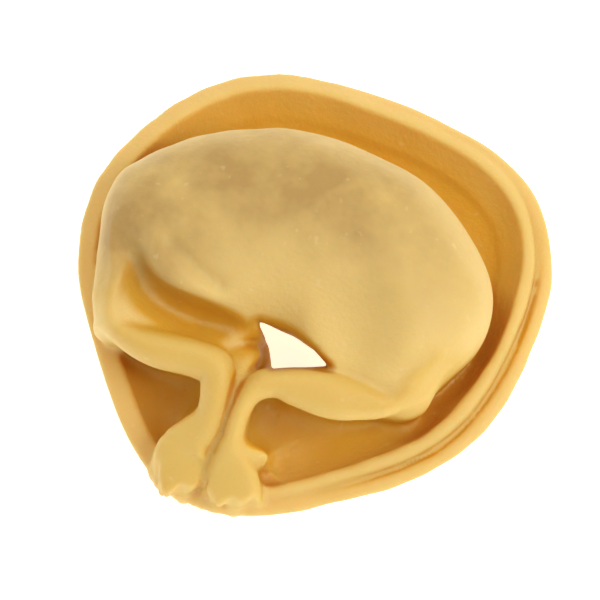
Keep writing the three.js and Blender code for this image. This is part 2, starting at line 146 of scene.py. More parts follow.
# The face in front of the crease: its height at a middle, its slope and hollow along x, how its outer side
# rises, the trough along the crease, which fades towards the hole, and how much its edges are rounded
LEFT_FACE = 9.6
LEFT_FACE_MIDDLE = -9.0
LEFT_FACE_SLOPE = -0.22
LEFT_FACE_HOLLOW = 0.03
LEFT_SIDE_FROM = 10.0
LEFT_SIDE_RISE = 0.1
TROUGH_DEPTH = 1.5
TROUGH_IN = 0.8
TROUGH_WIDTH = 1.3
TROUGH_FROM = 2.5
TROUGH_OVER = 4.0
TROUGH_LEAST = 0.3
LEFT_ROUND = 0.8
LEFT_MORE_ROUND = 1.4
LEFT_ROUNDER_FROM = 8.0
LEFT_ROUNDER_OVER = 4.0
# The face beyond the ridge: its height at a middle, its slope along x, and how it rises behind and inward
RIGHT_FACE = 12.0
RIGHT_FACE_MIDDLE = 8.4
RIGHT_FACE_SLOPE = 0.5
RIGHT_BACK_FROM = -7.0
RIGHT_BACK_RISE = 0.05
RIGHT_INNER_FROM = 6.0
RIGHT_INNER_RISE = 0.14
RIGHT_ROUND = 1.4

# The standing folds, from a corner of the pocket along the hole and down to a tip:
# x, y, top, half width, and how widely it blends into the brim
LEFT_FOLD = (
    (-12.9, -4.4, 9.4, 0.8, 0.6),
    (-13.0, -6.6, 9.9, 0.85, 0.6),
    (-12.2, -8.5, 10.4, 0.9, 0.6),
    (-10.4, -9.4, 10.8, 1.1, 1.0),
    (-8.2, -9.6, 11.1, 1.3, 1.4),
    (-5.6, -9.5, 11.5, 1.35, 1.8),
    (-4.0, -9.8, 11.6, 1.35, 1.8),
    (-3.5, -11.2, 11.1, 1.15, 1.8),
    (-3.5, -12.6, 9.9, 1.1, 1.4),
    (-4.2, -13.7, 8.6, 1.4, 1.0),
    (-4.8, -14.9, 7.5, 1.8, 0.6),
    (-4.6, -16.1, 6.4, 1.75, 0.6),
    (-4.1, -17.5, 5.4, 1.4, 0.8),
)
RIGHT_FOLD = (
    (10.3, -3.4, 10.2, 0.7, 0.6),
    (9.5, -6.0, 10.9, 0.9, 0.6),
    (8.3, -8.0, 11.2, 1.0, 0.8),
    (6.2, -8.7, 11.4, 1.4, 1.2),
    (4.0, -9.0, 11.6, 1.65, 2.0),
    (2.0, -9.1, 11.7, 1.5, 2.2),
    (0.3, -9.3, 11.7, 1.2, 2.2),
    (-1.1, -10.4, 11.5, 0.95, 2.2),
    (-1.6, -12.1, 10.4, 0.75, 2.2),
    (-1.5, -13.8, 8.8, 0.85, 1.8),
    (-1.0, -15.3, 7.2, 1.8, 1.2),
    (-0.5, -17.3, 5.4, 2.3, 0.8),
)
# A spur on the side of the right tip, and the web of dough between the two folds
SPUR = ((-1.6, -13.8, 8.4, 0.9, 0.8), (-0.3, -13.6, 7.6, 0.8, 0.8), (1.4, -13.3, 6.8, 0.3, 0.5))
WEB = (
    (-3.9, -6.4, 7.8, 1.2, 1.0),
    (-3.2, -7.8, 9.0, 1.7, 1.0),
    (-2.4, -9.2, 9.9, 0.9, 1.0),
    (-2.3, -10.6, 10.2, 0.8, 1.0),
    (-2.5, -12.0, 9.3, 0.8, 1.0),
    (-2.7, -14.2, 7.2, 0.9, 0.8),
    (-2.9, -16.9, 4.9, 1.0, 0.6),
)
FOLD_ROUND = 1.1
# Below this height the folds' foot spreads, by a share of how widely it blends
FOLD_FOOT = 7.0
FOOT_SPREAD = 0.2
# In front of this the folds' sides are ragged and their edges less rounded
RAGGED_FROM = 14.3
RAGGED_OVER = 2.0
RAGGED_SHARPER = 0.55
RAGGED_HEIGHT = 0.9
# How far short of its line a tip is torn, and how much the tear is rounded
TEAR_SHORT = 0.4
TEAR_ROUND = 0.3
# How far the folds and the hole lean for each mm that they go down, where the tails stop leaning,
# and how the folds' tops slope and how much they are domed
LEAN = (-0.09, 0.27)
LEAN_END = -13.6
LEAN_FADE = 4.0
TOP_SLOPE = 0.25
DOME = 0.45

# The hole between the pocket and the folds, in plan at its own height
HOLE = (
    (-2.5, -4.9), (0.1, -5.1), (1.9, -5.6), (3.1, -6.4), (1.3, -7.1), (-0.5, -7.8), (-1.2, -6.4),
)
HOLE_AT = 9.0
HOLE_MARGIN = 0.1
HOLE_STEEPNESS = 0.8
HOLE_ROUND = 0.7
# It widens below a height, which is greater behind
FLARE_FRONT = 2.6
FLARE_MORE_BEHIND = 1.4
FLARE_FROM = -9.0
FLARE_OVER = 6.0
FLARE_WIDTH = 1.1

# How widely parts of the dough blend where they meet
SPUR_JOIN = 0.8
WEB_JOIN = 0.3
POCKET_JOIN = 0.5
# The pocket's foot blends more widely at its right front, beyond an x and in front of a y
FOOT_MORE_JOIN = 1.6
FOOT_X = 6.0
FOOT_Y = 1.0
FOOT_FADE = 3.0
# So do the folds into the pocket at their outer ends, beyond a distance from a middle and behind a y
FOLD_MORE_JOIN = 2.5
FOLD_MIDDLE = -1.7
FOLD_END_FROM = 9.0
FOLD_BEHIND = -8.5
FOLD_FADE = 2.0
# The tips pass the rim of the brim in front of a y and above a height
SPILL_FROM = 14.0
SPILL_OVER = 2.0
SPILL_ABOVE = 1.5
SPILL_RISE = 3.0

# Waves of the torn tips and of the dough's unevenness: a height, and the waves whose product it scales,
# each as a vector in radians for each mm and a shift in radians
TEAR_WAVES = (
    (0.3, ((1.7, -1.3, 0.5), 0.0)),
    (0.16, ((3.3, 2.1, -1.2), 1.0)),
    (0.07, ((5.1, -4.3, 2.3), 0.0)),
)
LUMP_WAVES = (
    (0.35, ((0.55, 0.0, 0.0), 0.8), ((0.0, 0.6, 0.25), 0.0)),
    (0.35, ((0.42, -0.7, 0.0), 1.9)),
    (0.3, ((1.3, 0.9, 0.0), 0.4), ((0.0, 1.1, -0.8), 2.2)),
)

# Where the filling shows: above a height, round a circle about the pocket's bend, and between two directions
SHADE_ABOVE = 6.5
SHADE_RISE = 3.5
SHADE_OUT = 13.5
SHADE_WIDTH = 5.5
SHADE_RIGHT = 20
SHADE_RIGHT_FADE = 60
SHADE_LEFT = 158
SHADE_LEFT_FADE = 20

# How far in front of the surface creases and hollows are looked for, where shade is painted
CREASE_REACH = 1.2
HOLLOW_REACH = 4.0
# Depth of the rim, where the painted shade of the hollows is lessened, and of the cut edge, which gets a
# painted highlight, from the brim's end, and how near a point on a surface lies to it
RIM_DEPTH = 3.2
CUT_DEPTH = 0.35
ON_SHEET = 0.3
ON_POCKET = 0.6

# Straight steps for each stretch of a curve, how far a vertex moves onto the surface at most, and the
# box of the grid that the surface is sought in
CURVE_STEPS = 4
MOST_MOVE = 0.1
BOX_LOW = (-19.0, -20.0, -0.7)
BOX_HIGH = (18.0, 17.0, 14.0)

# Numbers of the sockets that a Mix node has for colours
MIX_FACTOR = 0
MIX_FIRST = 6
MIX_SECOND = 7
MIX_RESULT = 2

# Noises in the dough: features for each metre, detail and roughness
MOTTLE = (240, 3.0, 0.6)
PATCHES = (110, 2.0, 0.5)
SPECKS = (1500, 1.0, 0.5)
GRAIN = (2600, 2.0, 0.6)
GRAIN_HEIGHT = 0.00025
# Factor and offset that turn a value into the share of a colour, or into the roughness
PATCH_SHARE = (1.6, -0.3)
HOLLOW_SHARE = (1.9, -0.75)
FILLING_SHARE = (2.0, -0.15)
CREASE_SHARE = (2.0, -0.9)
SPECK_SHARE = (9.0, -6.3)
ROUGHNESS = (0.12, 0.46)
# The strongest share of each colour
POCKET_TINT = 0.9
# How much the painted shade of the hollows is lessened on the rim
RIM_LESS_SHADE = 0.75
# Painted shade in the creases
CREASE_SHADE_MOST = 0.7
# Painted highlight on the cut edge
CUT_HIGHLIGHT_MOST = 0.55
SPECK_TINT = 0.2
# Light goes into the dough: how much of it, how far for each colour, and how much of it is mirrored instead
SOFTNESS = 0.55
SOFT_REACH = 0.0013
SOFT_COLOURS = (1.0, 0.55, 0.22)
GLOSS = 0.35

# The stage in metres: half the floor, how far it lies below the piece and its finish, the lamps' places
# and sizes, the point that the camera looks at, and the width of its sensor in mm
FLOOR_HALF = 1.5
FLOOR_DROP = 0.00002
FLOOR_ROUGHNESS = 0.9
FLOOR_GLOSS = 0.1
KEY_PLACE = (0.28, 0.02, 0.42)
KEY_SIZE = 0.22
FILL_PLACE = (-0.20, 0.20, 0.40)
FILL_SIZE = 0.40
LOOK_AT = (0.0, 0.0, 0.005)
SENSOR = 36
WHITE = (1.0, 1.0, 1.0, 1.0)


def bell(value, width):
    """A bump of height 1 at 0 that falls away over the width."""
    return np.exp(-((value / width) ** 2))


def rise(value, start, length):
    """0 up to the start, 1 from the end of the length, and even in between."""
    return np.clip((value - start) / length, 0, 1)


def beyond(value, start):
    """How far a value is beyond the start, and 0 before it."""
    return np.maximum(value - start, 0)


def waves(rows, x, y, z):
    """The sum of the products of waves that the rows give."""
    total = 0.0
    for height, *factors in rows:
        product = height
        for (along_x, along_y, along_z), shift in factors:
            product = product * np.sin(along_x * x + along_y * y + along_z * z + shift)
        total = total + product
    return total


def join(a, b, reach):
    """The nearer of two solids, blended over the reach."""
    share = np.clip(0.5 + 0.5 * (b - a) / reach, 0, 1)
    return b + (a - b) * share - reach * share * (1 - share)


def overlap(a, b, reach):
    """What two solids share, blended over the reach."""
    return -join(-a, -b, reach)


def smooth_rows(rows):
    """Rows of values along a smooth curve through the given rows."""
    rows = np.array(rows, float)
    rows = np.vstack([2 * rows[0] - rows[1], rows, 2 * rows[-1] - rows[-2]])
    made = []
    for i in range(1, len(rows) - 2):
        before, start, end, after = rows[i - 1:i + 3]
        for t in np.arange(CURVE_STEPS) / CURVE_STEPS:
            bend = 2 * before - 5 * start + 4 * end - after
            twist = 3 * start - before - 3 * end + after
            made.append(0.5 * (2 * start + (end - before) * t + bend * t**2 + twist * t**3))
    made.append(rows[-2])
    return np.array(made)


def nearest_on(line, x, y):
    """Distance in plan to a line, the same signed to the left of it, and the line's values there, y first."""
    away = np.inf
    side = 0.0
    values = [0.0] * (line.shape[1] - 1)
    for start, end in zip(line[:-1], line[1:]):
        ex, ey = end[:2] - start[:2]
        t = np.clip(((x - start[0]) * ex + (y - start[1]) * ey) / (ex * ex + ey * ey), 0, 1)
        dx = x - start[0] - t * ex
        dy = y - start[1] - t * ey
        distance = np.hypot(dx, dy)
        nearer = distance < away
        away = np.where(nearer, distance, away)
        side = np.where(nearer, np.sign(ex * dy - ey * dx), side)
        here = [start[k] + t * (end[k] - start[k]) for k in range(1, line.shape[1])]
        values = [np.where(nearer, new, old) for new, old in zip(here, values)]
    return away, side * away, values


def inside_outline(outline, x, y):
    """Signed distance to a closed outline in plan, under 0 inside."""
    away = np.full(x.shape, np.inf)
    inside = np.zeros(x.shape, bool)
    for (ax, ay), (bx, by) in zip(outline, outline[1:] + outline[:1]):
        ex, ey = bx - ax, by - ay
        t = np.clip(((x - ax) * ex + (y - ay) * ey) / (ex * ex + ey * ey), 0, 1)
        away = np.minimum(away, np.hypot(x - ax - t * ex, y - ay - t * ey))
        inside = inside ^ (((ay > y) != (by > y)) & (x < ax + (y - ay) / ey * ex))
    return np.where(inside, -away, away)


def rim_distance(x, y):
    """Distance inward from the outline of the brim, and the direction from its middle."""
    dx = x - RIM_MIDDLE[0]
    dy = y - RIM_MIDDLE[1]
    angle = np.arctan2(dy, dx)
    radius = np.full(angle.shape, RIM_RADIUS)
    slant = np.zeros(angle.shape)
    for count, height, at in RIM_WAVES:
        turn = count * angle - np.radians(at)
        radius = radius + height * np.cos(turn)
        slant = slant - count * height * np.sin(turn)
    return (radius - np.hypot(dx, dy)) * radius / np.hypot(radius, slant), angle


def towards(angle, at, spread):
    """How near an angle is to a direction in degrees."""
    return bell(np.mod(angle - np.radians(at) + np.pi, 2 * np.pi) - np.pi, spread)


def brim_profile(angle):
    """Slope, upturn radius and half thickness of the brim in one direction."""
    slope = np.full(angle.shape, float(EDGE_SLOPE))
    upturn = np.full(angle.shape, UPTURN_RADIUS)
    half = np.full(angle.shape, SHEET)
    for at, spread, more_slope, more_radius, more_half in BRIM_SIDES:
        near = towards(angle, at, spread)
        slope = slope + more_slope * near
        upturn = upturn + more_radius * near
        half = half + more_half * near
    return np.radians(slope), upturn, half


def brim(x, y, z, seam_depth=0.0):
    """The sheet of the brim, the outer skin that only the tips pass, and the distance beyond the cut edge."""
    inward, angle = rim_distance(x, y)
    slope, upturn, half = brim_profile(angle)
    out = (upturn + half) * np.sin(slope) - inward
    up = z - upturn - SHEET
    reach = np.hypot(out, up)
    turned = np.clip(np.arctan2(out, -up) - slope, -math.pi / 2, math.pi / 2)
    edge = np.where(out > 0, reach * np.sin(turned), -UPTURN_RADIUS)
    pressed = PRESS_STEP * rise(edge, PRESS_AT, PRESS_FADE) * towards(angle, PRESS_TOWARDS, PRESS_SPREAD)
    bowl = np.maximum(reach - upturn, upturn - reach - pressed) - half
    bowl = np.where(up < 0, bowl, np.maximum(bowl, up))
    floor = z - SHEET - FLOOR_RISE * rise(-out, 0, FLOOR_REACH) ** 2
    sheet = np.where(out > 0, bowl, np.abs(floor) - half)
    across = np.where(out > 0, reach - upturn, half)
    seam_here = np.minimum(SEAM_STRETCH * towards(angle, SEAM_TOWARDS, SEAM_SPREAD), 1)
    edge = edge + seam_depth * bell(across, SEAM_WIDTH) * seam_here
    skin = np.where(up < 0, reach, out) - upturn - half
    skin = np.where(out > 0, skin, -floor - half)
    return overlap(sheet, edge, EDGE_ROUND), skin, edge


def round_the_bend(x, y):
    """Distance and direction in degrees from the middle that the pocket is bent round."""
    dx = x - BEND[0]
    dy = y - BEND[1]
    return np.hypot(dx, dy), np.degrees(np.arctan2(dy, dx))


def full_pocket(x, y, z):
    """The whole bent pocket, before its ends are shaped."""
    distance, direction = round_the_bend(x, y)
    direction = np.where(direction < -90, direction + 360, direction)
    along = (direction - BEND_MIDDLE) / BEND_HALF
    to_end = np.minimum(np.abs(along), NARROW_AS_FAR_AS)
    narrowed = rise(direction, LEFT_FROM, LEFT_OVER)
    left = POCKET_OUTER - LEFT_LESS * narrowed**2 * (3 - 2 * narrowed)
    dent = DENT_DEPTH * bell(direction - DENT_AT, DENT_SPREAD)
    right = POCKET_OUTER - RIGHT_LESS * to_end**RIGHT_POWER - dent
    outer = np.where(along > 0, left, right)
    inner = POCKET_INNER - INNER_LESS * to_end**2
    top = POCKET_TOP - TOP_LESS * to_end**TOP_POWER
    bottom = POCKET_BOTTOM + BOTTOM_MORE * to_end**BOTTOM_POWER
    half = np.maximum((outer - inner) / 2, POCKET_LEAST)
    half_height = (top - bottom) / 2
    across = np.abs(distance - (outer + inner) / 2) / half
    over = np.abs(z - (top + bottom) / 2) / half_height
    swell = (across**POCKET_SQUARENESS + over**POCKET_SQUARENESS) ** (1 / POCKET_SQUARENESS)
    return (swell - 1) * np.minimum(half, half_height)


def left_face(dough, x, y, z):
    """The dough with its left end collapsed in front of the crease."""
    side = nearest_on(smooth_rows(CREASE), x, y)[1]
    off_middle = x - LEFT_FACE_MIDDLE
    face = LEFT_FACE + LEFT_FACE_SLOPE * off_middle + LEFT_FACE_HOLLOW * off_middle**2
    face = face + LEFT_SIDE_RISE * beyond(-x, LEFT_SIDE_FROM) ** 2
    fade = np.clip((-x - TROUGH_FROM) / TROUGH_OVER, TROUGH_LEAST, 1)
    face = face - TROUGH_DEPTH * bell(side + TROUGH_IN, TROUGH_WIDTH) * fade
    soft = LEFT_ROUND + LEFT_MORE_ROUND * rise(-x, LEFT_ROUNDER_FROM, LEFT_ROUNDER_OVER)
    return overlap(dough, -overlap(side, face - z, soft), soft)


def right_face(dough, x, y, z):
    """The dough with its right end sloping down beyond the ridge."""
    side = nearest_on(smooth_rows(RIDGE), x, y)[1]
    face = RIGHT_FACE + RIGHT_FACE_SLOPE * (x - RIGHT_FACE_MIDDLE)
    face = face + RIGHT_BACK_RISE * beyond(y, RIGHT_BACK_FROM) ** 2
    face = face + RIGHT_INNER_RISE * beyond(-x, -RIGHT_INNER_FROM) ** 2
    return overlap(dough, -overlap(side, face - z, RIGHT_ROUND), RIGHT_ROUND)


def pocket(x, y, z):
    """The filled pocket with its collapsed left end and its sloping right end."""
    front = FRONT_CUT - FRONT_LEFT_SLOPE * beyond(-x, -FRONT_LEFT_FROM) + FRONT_RIGHT_SLOPE * beyond(x, 0)
    dough = overlap(full_pocket(x, y, z), front - y, FRONT_ROUND)
    dough = left_face(dough, x, y, z)
    dough = right_face(dough, x, y, z)
    away = nearest_on(smooth_rows(LOBE_FOLD), x, y)[0]
    return dough + LOBE_DEPTH * bell(away, LOBE_WIDTH) * rise(z, LOBE_ABOVE, LOBE_FADE)


def standing_fold(line, x, y, z):
    """One standing fold with a rounded top and a torn end, and how widely it blends into the brim."""
    top_here = nearest_on(line, x, y)[2][1]
    down = (top_here - z) * rise(y, LEAN_END, LEAN_FADE)
    leant_y = y - LEAN[1] * down
    away, _, (line_y, top, half, blend) = nearest_on(line, x - LEAN[0] * down, leant_y)
    foot = rise(-z, -FOLD_FOOT, FOLD_FOOT)
    tear = waves(TEAR_WAVES, x, y, z)
    ragged = rise(-y, RAGGED_FROM, RAGGED_OVER)
    rounded = FOLD_ROUND * (1 - RAGGED_SHARPER * ragged)
    across = away - half - FOOT_SPREAD * blend * foot**2 + rounded + RAGGED_HEIGHT * ragged * tear
    dome = DOME * np.minimum(away / half, 1) ** 2
    over = z - top - TOP_SLOPE * np.clip(leant_y - line_y, -half, half) + dome + rounded
    corner = np.hypot(np.maximum(across, 0), np.maximum(over, 0))
    dough = corner + np.minimum(np.maximum(across, over), 0) - rounded
    before, tip = line[-2, :2], line[-1, :2]
    ahead = (tip - before) / np.hypot(*(tip - before))
    past = (x - tip[0]) * ahead[0] + (y - tip[1]) * ahead[1]
    return np.maximum(overlap(dough, past + TEAR_SHORT + tear, TEAR_ROUND), -z), blend


def hole(x, y, z):
    """The space of the hole, which leans and flares out below."""
    flare = FLARE_FRONT + FLARE_MORE_BEHIND * rise(y, FLARE_FROM, FLARE_OVER)
    below = np.clip(flare - z, 0, flare)
    wider = flare - np.sqrt(flare**2 - below**2)
    plan = inside_outline(HOLE, x - LEAN[0] * (HOLE_AT - z), y - LEAN[1] * (HOLE_AT - z))
    return HOLE_STEEPNESS * (plan - HOLE_MARGIN - FLARE_WIDTH * wider)


def tortellino(x, y, z, seam_depth=0.0, lumps=0.0):
    """Signed distance to the dough of the whole piece."""
    sheet, skin, _ = brim(x, y, z, seam_depth)
    left, left_blend = standing_fold(smooth_rows(LEFT_FOLD), x, y, z)
    right, right_blend = standing_fold(smooth_rows(RIGHT_FOLD), x, y, z)
    spur, _ = standing_fold(smooth_rows(SPUR), x, y, z)
    web, _ = standing_fold(smooth_rows(WEB), x, y, z)
    fold = join(np.minimum(left, join(right, spur, SPUR_JOIN)), web, WEB_JOIN)
    spill = rise(-y, SPILL_FROM, SPILL_OVER) * rise(z, SPILL_ABOVE, SPILL_RISE)
    fold = np.maximum(fold, skin - spill)
    filled = np.maximum(pocket(x, y, z), skin)
    blend = np.where(left < right, left_blend, right_blend)
    foot_join = POCKET_JOIN + FOOT_MORE_JOIN * rise(x, FOOT_X, FOOT_FADE) * rise(-y, FOOT_Y, FOOT_FADE)
    at_end = rise(np.abs(x - FOLD_MIDDLE), FOLD_END_FROM, FOLD_FADE) * rise(y, FOLD_BEHIND, FOLD_FADE)
    dough = np.minimum(join(sheet, fold, blend), join(sheet, filled, foot_join))
    dough = np.minimum(dough, join(fold, filled, POCKET_JOIN + FOLD_MORE_JOIN * at_end))
    dough = overlap(dough, -hole(x, y, z), HOLE_ROUND)
    dough = dough + lumps * waves(LUMP_WAVES, x, y, z)
    return np.maximum(dough, -z)


def surface_mesh(distance, cell):
    """Vertices and quads where the distance is 0, one vertex for each cell that the surface passes."""
    axes = [np.arange(low, high + cell, cell) for low, high in zip(BOX_LOW, BOX_HIGH)]
    x, y, z = np.meshgrid(*axes, indexing="ij", sparse=True)
    values = distance(x, y, z)
    inside = values < 0
    sizes = np.array(values.shape)
    count = np.zeros(sizes - 1, int)
    corners = [(i, j, k) for i in (0, 1) for j in (0, 1) for k in (0, 1)]
    for i, j, k in corners:
        count += inside[i:sizes[0] - 1 + i, j:sizes[1] - 1 + j, k:sizes[2] - 1 + k]
    passed = (count > 0) & (count < 8)
    cells = np.argwhere(passed)
    number = np.full(passed.shape, -1)
    number[passed] = np.arange(len(cells))
    total = np.zeros((len(cells), 3))
    crossings = np.zeros(len(cells))
    for corner in corners:
        for axis in range(3):
            if corner[axis]:
                continue
            step = np.eye(3, dtype=int)[axis]
            a = values[tuple((cells + corner).T)]
            b = values[tuple((cells + corner + step).T)]
            crosses = (a < 0) != (b < 0)
            share = np.where(crosses, a / np.where(crosses, a - b, 1), 0)
            total += (np.array(corner) + share[:, None] * step) * crosses[:, None]
            crossings += crosses
    points = (cells + total / crossings[:, None]) * cell + np.array(BOX_LOW)
    return points, grid_quads(inside, number, sizes)


def grid_quads(inside, number, sizes):
    """One quad across each grid edge that the surface passes."""
    quads = []
    for axis in range(3):
        one, other = (axis + 1) % 3, (axis + 2) % 3
        start = np.take(inside, range(sizes[axis] - 1), axis)
        end = np.take(inside, range(1, sizes[axis]), axis)
        edges = np.argwhere(start != end)
        held = start[tuple(edges.T)]
        ring = []
        for back_one, back_other in ((0, 0), (1, 0), (1, 1), (0, 1)):
            cell = edges.copy()
            cell[:, one] -= back_one
            cell[:, other] -= back_other
            ring.append(number[tuple(cell.T)])
        quad = np.stack(ring, 1)
        quad[~held] = quad[~held][:, ::-1]
        quads.append(quad)
    return np.vstack(quads)


def narrowness(distance, points, normals, reach):
    """How closed in each point is: 0 on an open face, 1 in a tight crease."""
    return np.clip(1 - distance(*(points + normals * reach).T) / reach, 0, 1)


def add_values(mesh, name, values):
    """Stores one number for each vertex under a name that the material reads."""
    layer = mesh.attributes.new(name, "FLOAT", "POINT")
    layer.data.foreach_set("value", np.asarray(values, np.float32))


def filling_shade(points):
    """Where the filling shows through the dough: over the top and back of the pocket."""
    x, y, z = points.T
    out, direction = round_the_bend(x, y)
    over = rise(z, SHADE_ABOVE, SHADE_RISE) * bell(out - SHADE_OUT, SHADE_WIDTH)
    from_right = rise(direction, SHADE_RIGHT, SHADE_RIGHT_FADE)
    return over * from_right * (1 - rise(direction, SHADE_LEFT, SHADE_LEFT_FADE))


def over_solid(points):
    """The points in metres, with the middle of their box in plan over the middle of the solid's."""
    low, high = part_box(NODE)
    middle = (points.min(0) + points.max(0)) / 2 * MM
    shift = [(low[axis] + high[axis]) / 2 - middle[axis] for axis in (0, 1)]
    return points * MM + np.array([*shift, 0.0])


def vertex_normals(mesh):
    """The outward direction at each vertex."""
    normals = np.empty(3 * len(mesh.vertices), np.float32)
    mesh.vertex_normals.foreach_get("vector", normals)
    return normals.reshape(-1, 3)


def dough_mesh(cell, seam_depth, lumps):
    """The fine mesh of the dough with the values that its material reads."""

    def distance(x, y, z):
        return tortellino(x, y, z, seam_depth, lumps)

    points, quads = surface_mesh(distance, cell)
    mesh = bpy.data.meshes.new("tortellino_dough")
    mesh.from_pydata(points.tolist(), [], quads.tolist())
    mesh.shade_smooth()
    normals = vertex_normals(mesh)
    points = points - normals * np.clip(distance(*points.T), -MOST_MOVE, MOST_MOVE)[:, None]
    mesh.vertices.foreach_set("co", over_solid(points).ravel())
    mesh.update()
    sheet, _, edge = brim(*points.T)
    on_sheet = np.abs(sheet) < ON_SHEET
    # The rim and the narrowness of creases and hollows say where shade is painted, and the cut edge where a
    # highlight is painted
    add_values(mesh, "rim", rise(edge, -RIM_DEPTH, RIM_DEPTH) * on_sheet)
    add_values(mesh, "cut_edge", rise(edge, -CUT_DEPTH, CUT_DEPTH) * on_sheet)
    add_values(mesh, "crease", narrowness(distance, points, normals, CREASE_REACH))
    add_values(mesh, "hollow", narrowness(distance, points, normals, HOLLOW_REACH))
    add_values(mesh, "filling", filling_shade(points))
    add_values(mesh, "filled", rise(-pocket(*points.T), -ON_POCKET, ON_POCKET))
    return mesh


class Value:
    """A shader socket that can be used in Python expressions."""

    def __init__(self, tree, socket):
        self.tree = tree
        self.socket = socket

    def math(self, operation, *others, swap=False):
        terms = [self, *others]
        if swap:
            terms.reverse()
        return add_node(self.tree, "ShaderNodeMath", 0, {"operation": operation}, dict(enumerate(terms)))

    def __add__(self, other):
        return self.math("ADD", other)

    def __radd__(self, other):
        return self.math("ADD", other, swap=True)

    def __sub__(self, other):
        return self.math("SUBTRACT", other)

    def __rsub__(self, other):
        return self.math("SUBTRACT", other, swap=True)

    def __mul__(self, other):
        return self.math("MULTIPLY", other)

    def __rmul__(self, other):
        return self.math("MULTIPLY", other, swap=True)

    def scaled(self, factor, offset):
        return self * factor + offset

    def clamped(self):
        return add_node(self.tree, "ShaderNodeClamp", 0, None, {"Value": self})


def link(tree, source, target):
    """Links a value to a socket, or sets the socket to a plain number, colour or vector."""
    if isinstance(source, Value):
        tree.links.new(source.socket, target)
    else:
        target.default_value = source


def add_node(tree, kind, output=0, settings=None, sockets=None):
    """Adds a node of that type with its settings, then the values or links of its sockets."""
    node = tree.nodes.new(kind)
    for name, value in (settings or {}).items():
        setattr(node, name, value)
    for name, value in (sockets or {}).items():
        link(tree, value, node.inputs[name])
    return Value(tree, node.outputs[output])


class Shader:
    """Adds nodes to one material."""

    def __init__(self, name):
        self.material = bpy.data.materials.new(name)
        self.material.use_nodes = True
        self.tree = self.material.node_tree
        self.surface = self.tree.nodes["Principled BSDF"]

    def attribute(self, name):
        """A value that the mesh holds for each vertex."""
        return add_node(self.tree, "ShaderNodeAttribute", "Fac", {"attribute_name": name})

    def noise(self, scale, detail, roughness):
        """Noise from 0 to 1 over the piece's own coordinates, with features of 1 / scale metres."""
        place = add_node(self.tree, "ShaderNodeTexCoord", "Object")
        sockets = {"Vector": place, "Scale": scale, "Detail": detail, "Roughness": roughness}
        return add_node(self.tree, "ShaderNodeTexNoise", 0, None, sockets)

    def bump(self, strength, distance, height):
        """A normal from a height."""
        sockets = {"Strength": strength, "Distance": distance, "Height": height}
        return add_node(self.tree, "ShaderNodeBump", 0, None, sockets)

    def mix(self, factor, first, second):
        """Two colours mixed."""
        sockets = {MIX_FACTOR: factor, MIX_FIRST: first, MIX_SECOND: second}
        return add_node(self.tree, "ShaderNodeMix", MIX_RESULT, {"data_type": "RGBA"}, sockets)

    def set(self, **sockets):
        """Sets sockets of the surface, named with _ for a space."""
        for name, value in sockets.items():
            link(self.tree, value, self.surface.inputs[name.replace("_", " ")])


def srgb(red, green, blue):
    """A colour given as it looks on a screen, from 0 to 255."""
    linear = [((c / 255 + 0.055) / 1.055) ** 2.4 if c > 10 else c / 255 / 12.92 for c in (red, green, blue)]
    return (*linear, 1.0)


def dough_material(settings):
    """Raw egg dough: pale on open faces, with painted orange shade in the hollows and creases and a painted
    highlight on the cut edge, greyish where the filling shows.
    """
    shader = Shader("dough")
    mottle = shader.noise(*MOTTLE)
    patches = shader.noise(*PATCHES).scaled(*PATCH_SHARE).clamped()
    colour = shader.mix(patches, settings.brim_warm, settings.brim_pale)
    pocket_colour = shader.mix(mottle, settings.pocket_warm, settings.pocket_pale)
    colour = shader.mix(shader.attribute("filled") * POCKET_TINT, colour, pocket_colour)
    # Painted shade and bounce light: the hollows are tinted deep orange, less so on the rim
    hollow = shader.attribute("hollow").scaled(*HOLLOW_SHARE).clamped()
    hollow = hollow * (1.0 - shader.attribute("rim") * RIM_LESS_SHADE)
    colour = shader.mix(hollow * settings.hollow_shade_strength, colour, settings.hollow_shade_colour)
    filling = (shader.attribute("filling") * mottle.scaled(*FILLING_SHARE)).clamped()
    colour = shader.mix(filling * settings.filling_tint, colour, settings.filling_colour)
    # Painted shade: the dough is darkened to a deep orange in the tight creases
    crease = shader.attribute("crease").scaled(*CREASE_SHARE).clamped()
    colour = shader.mix(crease * CREASE_SHADE_MOST, colour, settings.crease_shade_colour)
    # Painted highlight: the cut edge of the brim is made paler, as if lit
    colour = shader.mix(shader.attribute("cut_edge") * CUT_HIGHLIGHT_MOST, colour, settings.edge_highlight_colour)
    specks = shader.noise(*SPECKS).scaled(*SPECK_SHARE).clamped()
    colour = shader.mix(specks * SPECK_TINT, colour, settings.speck_colour)
    shader.set(
        Base_Color=colour,
        Roughness=mottle.scaled(*ROUGHNESS),
        Normal=shader.bump(settings.grain, GRAIN_HEIGHT, shader.noise(*GRAIN)),
        Subsurface_Weight=SOFTNESS,
        Subsurface_Radius=SOFT_COLOURS,
        Subsurface_Scale=SOFT_REACH,
        Specular_IOR_Level=GLOSS,
    )
    return shader.material


def length_setting(name, description, millimetres):
    """A length that the panel can change."""
    length = millimetres * MM
    return bpy.props.FloatProperty(name=name, description=description, default=length, unit="LENGTH")


def share_setting(name, description, share):
    """A share from 0 to 1 that the panel can change."""
    return bpy.props.FloatProperty(
        name=name, description=description, default=share, min=0.0, max=1.0, subtype="FACTOR"
    )


def colour_setting(name, description, red, green, blue):
    """A colour that the panel can change, given as it looks on a screen."""
    colour = srgb(red, green, blue)
    return bpy.props.FloatVectorProperty(
        name=name, description=description, default=colour, size=4, min=0.0, max=1.0, subtype="COLOR"
    )


